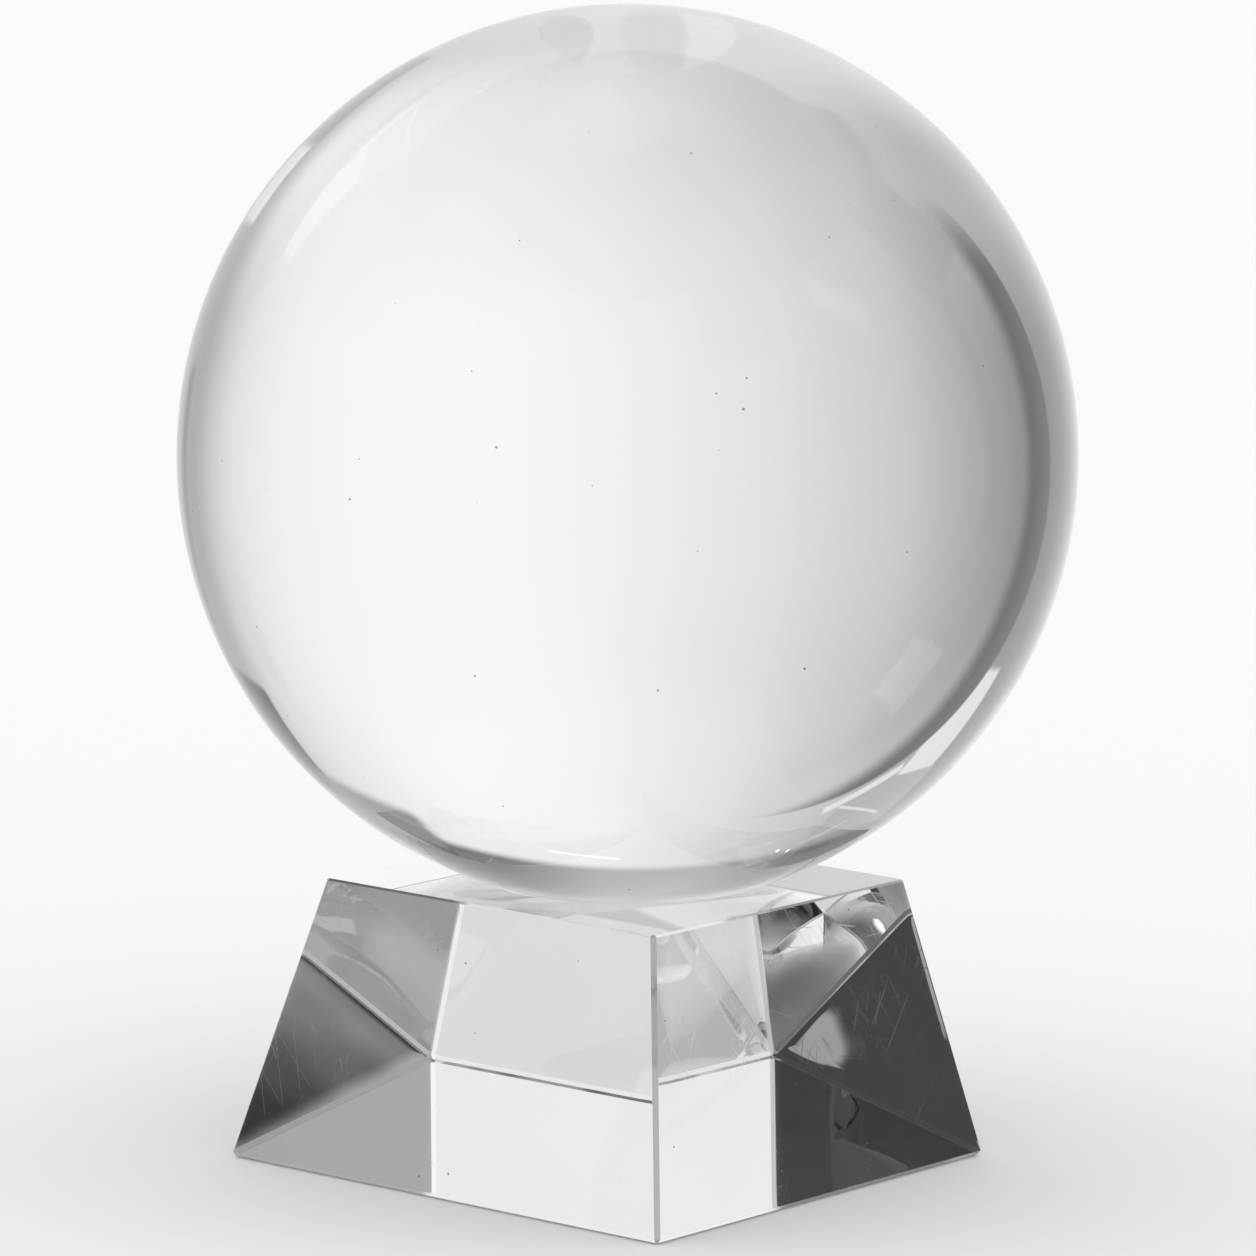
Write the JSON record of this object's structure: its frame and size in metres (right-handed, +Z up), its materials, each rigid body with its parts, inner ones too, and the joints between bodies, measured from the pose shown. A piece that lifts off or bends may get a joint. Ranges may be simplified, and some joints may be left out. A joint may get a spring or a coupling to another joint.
{
  "type": "crystal ball",
  "caption": "Solid clear glass ball resting in the shallow round seat of a clear, square, tapered glass stand; the ball lifts off.",
  "frame": {"origin": "centre of the stand's underside, on the surface it rests on", "axes": "+Z up through the centre of the stand and the ball; +X and +Y square to the stand's sides"},
  "size_m": [0.15, 0.15, 0.1942],
  "materials": {
    "ball_glass": "polished",
    "stand_glass": "polished"
  },
  "bodies": {
    "stand": {"display_stand": "stand_glass"},
    "ball": {"crystal_ball": "ball_glass"}
  },
  "joints": [
    {"name": "ball_lift", "type": "slide", "parent": "stand", "child": "ball", "axis": [0, 0, 1], "range_m": [0, 0.1]}
  ]
}
